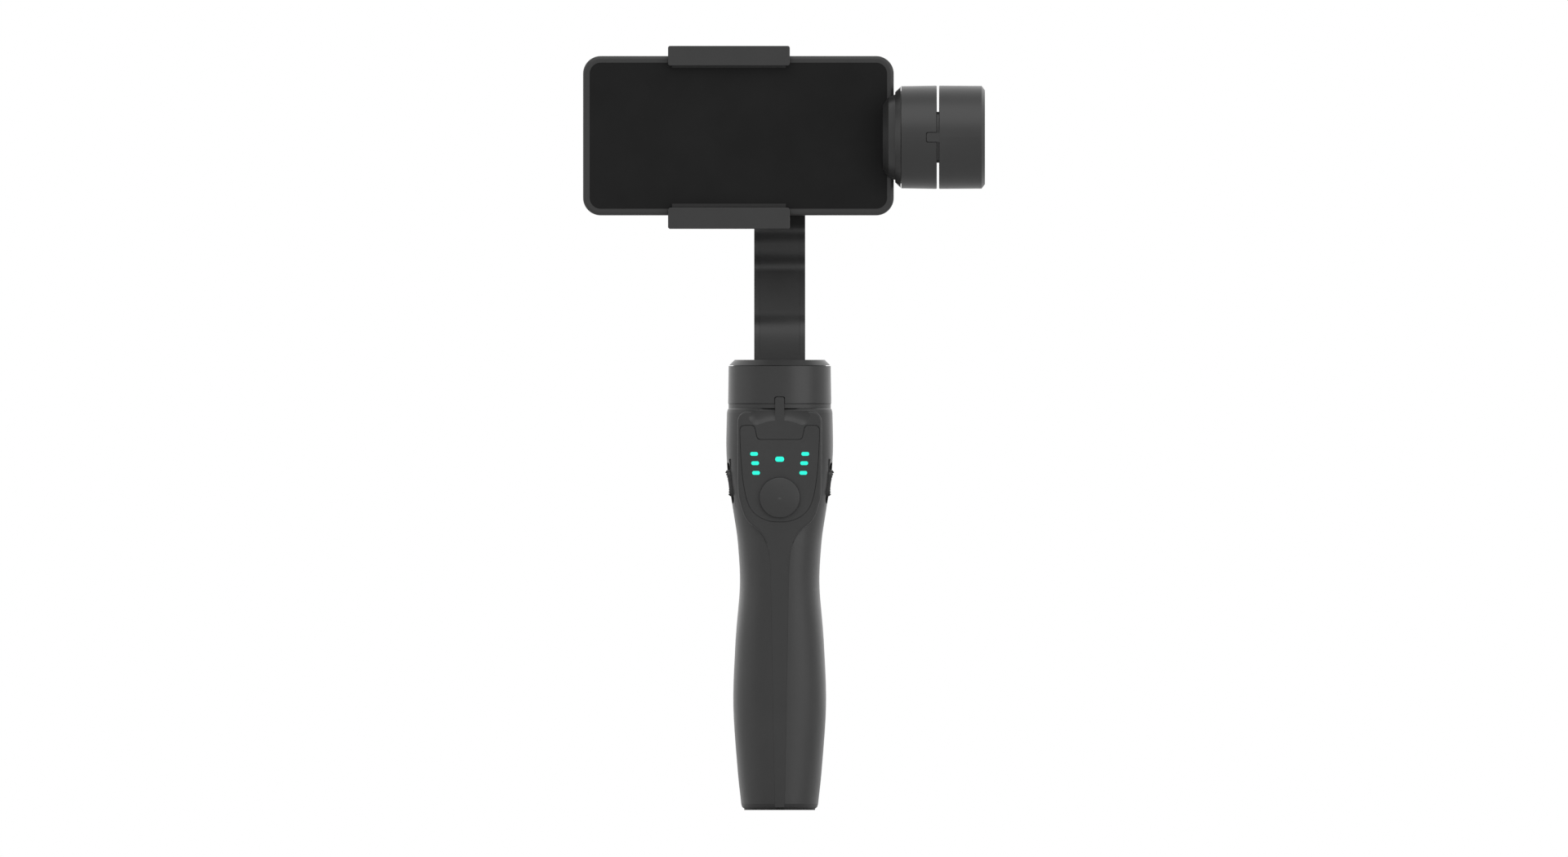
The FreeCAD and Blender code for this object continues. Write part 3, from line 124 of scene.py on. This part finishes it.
materials = {
    "grip_grey": moulded_plastic("grip_grey", (GREY,) * 3, 0.36),
    "cover_grey": moulded_plastic("cover_grey", (GREY,) * 3, 0.38),
    "fascia_grey": moulded_plastic("fascia_grey", (GREY * 1.05,) * 3, 0.4, texture=3200.0, depth=0.000008),
    # the arms' grey is a tenth lighter than GREY: painted light that stands in for the light the phone and
    # clamp keep off them
    "arm_grey": moulded_plastic("arm_grey", (GREY * 1.1,) * 3, 0.34, texture=2000.0),
    "motor_grey": moulded_plastic("motor_grey", (GREY,) * 3, 0.34, texture=2200.0),
    "jaw_grey": moulded_plastic("jaw_grey", (GREY * 1.05,) * 3, 0.4),
    "switch_grey": moulded_plastic("switch_grey", (GREY * 1.1,) * 3, 0.36, texture=3000.0),
    "rubber": moulded_plastic("rubber", (0.016, 0.016, 0.016), 0.6, 0.4, 1500.0, 0.00002),
    "inner_plastic": moulded_plastic("inner_plastic", (0.006, 0.006, 0.006), 0.6),
    "led": lamp_lens("led", (0.033, 1.0, 0.737), 1.0),
    "steel": metal("steel", (0.55, 0.55, 0.56), 0.28, (1, 1, 12)),
    "screw_black": metal("screw_black", (0.06, 0.06, 0.065), 0.4),
    "brass": metal("brass", (0.72, 0.5, 0.2), 0.3, (1, 1, 20)),
    "magnet": metal("magnet", (0.5, 0.5, 0.52), 0.25),
    "copper": metal("copper", (0.62, 0.26, 0.12), 0.35, (1, 14, 1)),
    "circuit": moulded_plastic("circuit", (0.01, 0.06, 0.03), 0.35, 0.5, 900.0, 0.00001),
    "cell_wrap": moulded_plastic("cell_wrap", (0.03, 0.09, 0.25), 0.3, 0.5, 600.0, 0.00001),
    "phone_frame": moulded_plastic("phone_frame", (GREY,) * 3, 0.42, texture=3600.0, depth=0.000006),
    "phone_screen": moulded_plastic("phone_screen", (0.0166,) * 3, 0.5, 0.02, 300.0, 0.000001),
}
for row in frame["record"]["subparts"]:
    node = frame["nodes"][row["node"]]
    node.data.materials.clear()
    node.data.materials.append(materials[row["material_slot"]])


# --- stage: pale floor, soft light, camera --------------------------------------------------------
FLOOR_HALF = 4.0


def pale_floor():
    """A wide sheet of pale paper under the object."""
    mesh = bpy.data.meshes.new("floor")
    corners = [(-1, -1), (1, -1), (1, 1), (-1, 1)]
    mesh.from_pydata([(x * FLOOR_HALF, y * FLOOR_HALF, 0) for x, y in corners], [], [(0, 1, 2, 3)])
    floor = bpy.data.objects.new("floor", mesh)
    bpy.context.collection.objects.link(floor)
    mesh.materials.append(moulded_plastic("floor_paper", (0.66,) * 3, 0.9, 0.1, 200.0, 0.00001))


# Each soft box: azimuth from the operator's side towards +X, elevation, half angle at full strength,
# half angle where it has faded out, added strength.
SOFT_BOXES = [
    (0.0, 54.0, 8.0, 38.0, 0.95),
    (50.0, 2.0, 5.0, 32.0, 1.35),
    (-84.0, 8.0, 5.0, 30.0, 0.35)]
FRONT_LEVEL = 0.80           # strength of the grey studio towards the operator's side
BACK_LEVEL = 1.25
LOW_LEVEL = 0.45             # share of the light that is left straight below
BACK_COSINES = (0.1, 0.95)   # cosines from the back between which the front level becomes the back level
LOW_COSINES = (0.2, 0.95)    # the same from straight below


def studio_world():
    """The camera sees a white backdrop; the object is lit by a grey studio with soft boxes."""
    world = bpy.data.worlds.new("studio")
    bpy.context.scene.world = world
    world.use_nodes = True
    nodes = world.node_tree.nodes
    links = world.node_tree.links
    background = nodes["Background"]
    background.inputs["Color"].default_value = (1, 1, 1, 1)
    direction = nodes.new("ShaderNodeTexCoord").outputs["Generated"]

    def math_node(operation, first, second):
        node = nodes.new("ShaderNodeMath")
        node.operation = operation
        for socket, value in zip(node.inputs, (first, second)):
            if isinstance(value, float):
                socket.default_value = value
            else:
                links.new(value, socket)
        return node.outputs[0]

    def lobe(aim, start, end, low, high):
        """Smooth step over the cosine of the angle between the direction and an aim."""
        dot = nodes.new("ShaderNodeVectorMath")
        dot.operation = "DOT_PRODUCT"
        dot.inputs[1].default_value = aim
        links.new(direction, dot.inputs[0])
        step = nodes.new("ShaderNodeMapRange")
        step.interpolation_type = "SMOOTHSTEP"
        step.inputs["From Min"].default_value = start
        step.inputs["From Max"].default_value = end
        step.inputs["To Min"].default_value = low
        step.inputs["To Max"].default_value = high
        links.new(dot.outputs["Value"], step.inputs["Value"])
        return step.outputs["Result"]

    strength = lobe((0, 1, 0), *BACK_COSINES, FRONT_LEVEL, BACK_LEVEL)
    strength = math_node("MULTIPLY", strength, lobe((0, 0, -1), *LOW_COSINES, 1.0, LOW_LEVEL))
    for azimuth, elevation, full, faded, added in SOFT_BOXES:
        turn, rise = math.radians(azimuth), math.radians(elevation)
        aim = (math.sin(turn) * math.cos(rise), -math.cos(turn) * math.cos(rise), math.sin(rise))
        soft_box = lobe(aim, math.cos(math.radians(faded)), math.cos(math.radians(full)), 0.0, added)
        strength = math_node("ADD", strength, soft_box)
    path = nodes.new("ShaderNodeLightPath").outputs["Is Camera Ray"]
    hidden = math_node("MULTIPLY", strength, math_node("SUBTRACT", 1.0, path))
    links.new(math_node("ADD", hidden, path), background.inputs["Strength"])


pale_floor()
studio_world()

VIEW_WIDTH = 0.7104          # metres across the picture
VIEW_CENTRE = (0.00196, -2.0, 0.1728)    # in front of the object, level with the middle of the picture
camera_data = bpy.data.cameras.new("camera")
camera_data.type = "ORTHO"
camera_data.ortho_scale = VIEW_WIDTH
camera = bpy.data.objects.new("camera", camera_data)
camera.location = VIEW_CENTRE
camera.rotation_euler = (math.pi / 2, 0, 0)
bpy.context.collection.objects.link(camera)
bpy.context.scene.camera = camera
bpy.context.scene.view_settings.view_transform = "Standard"
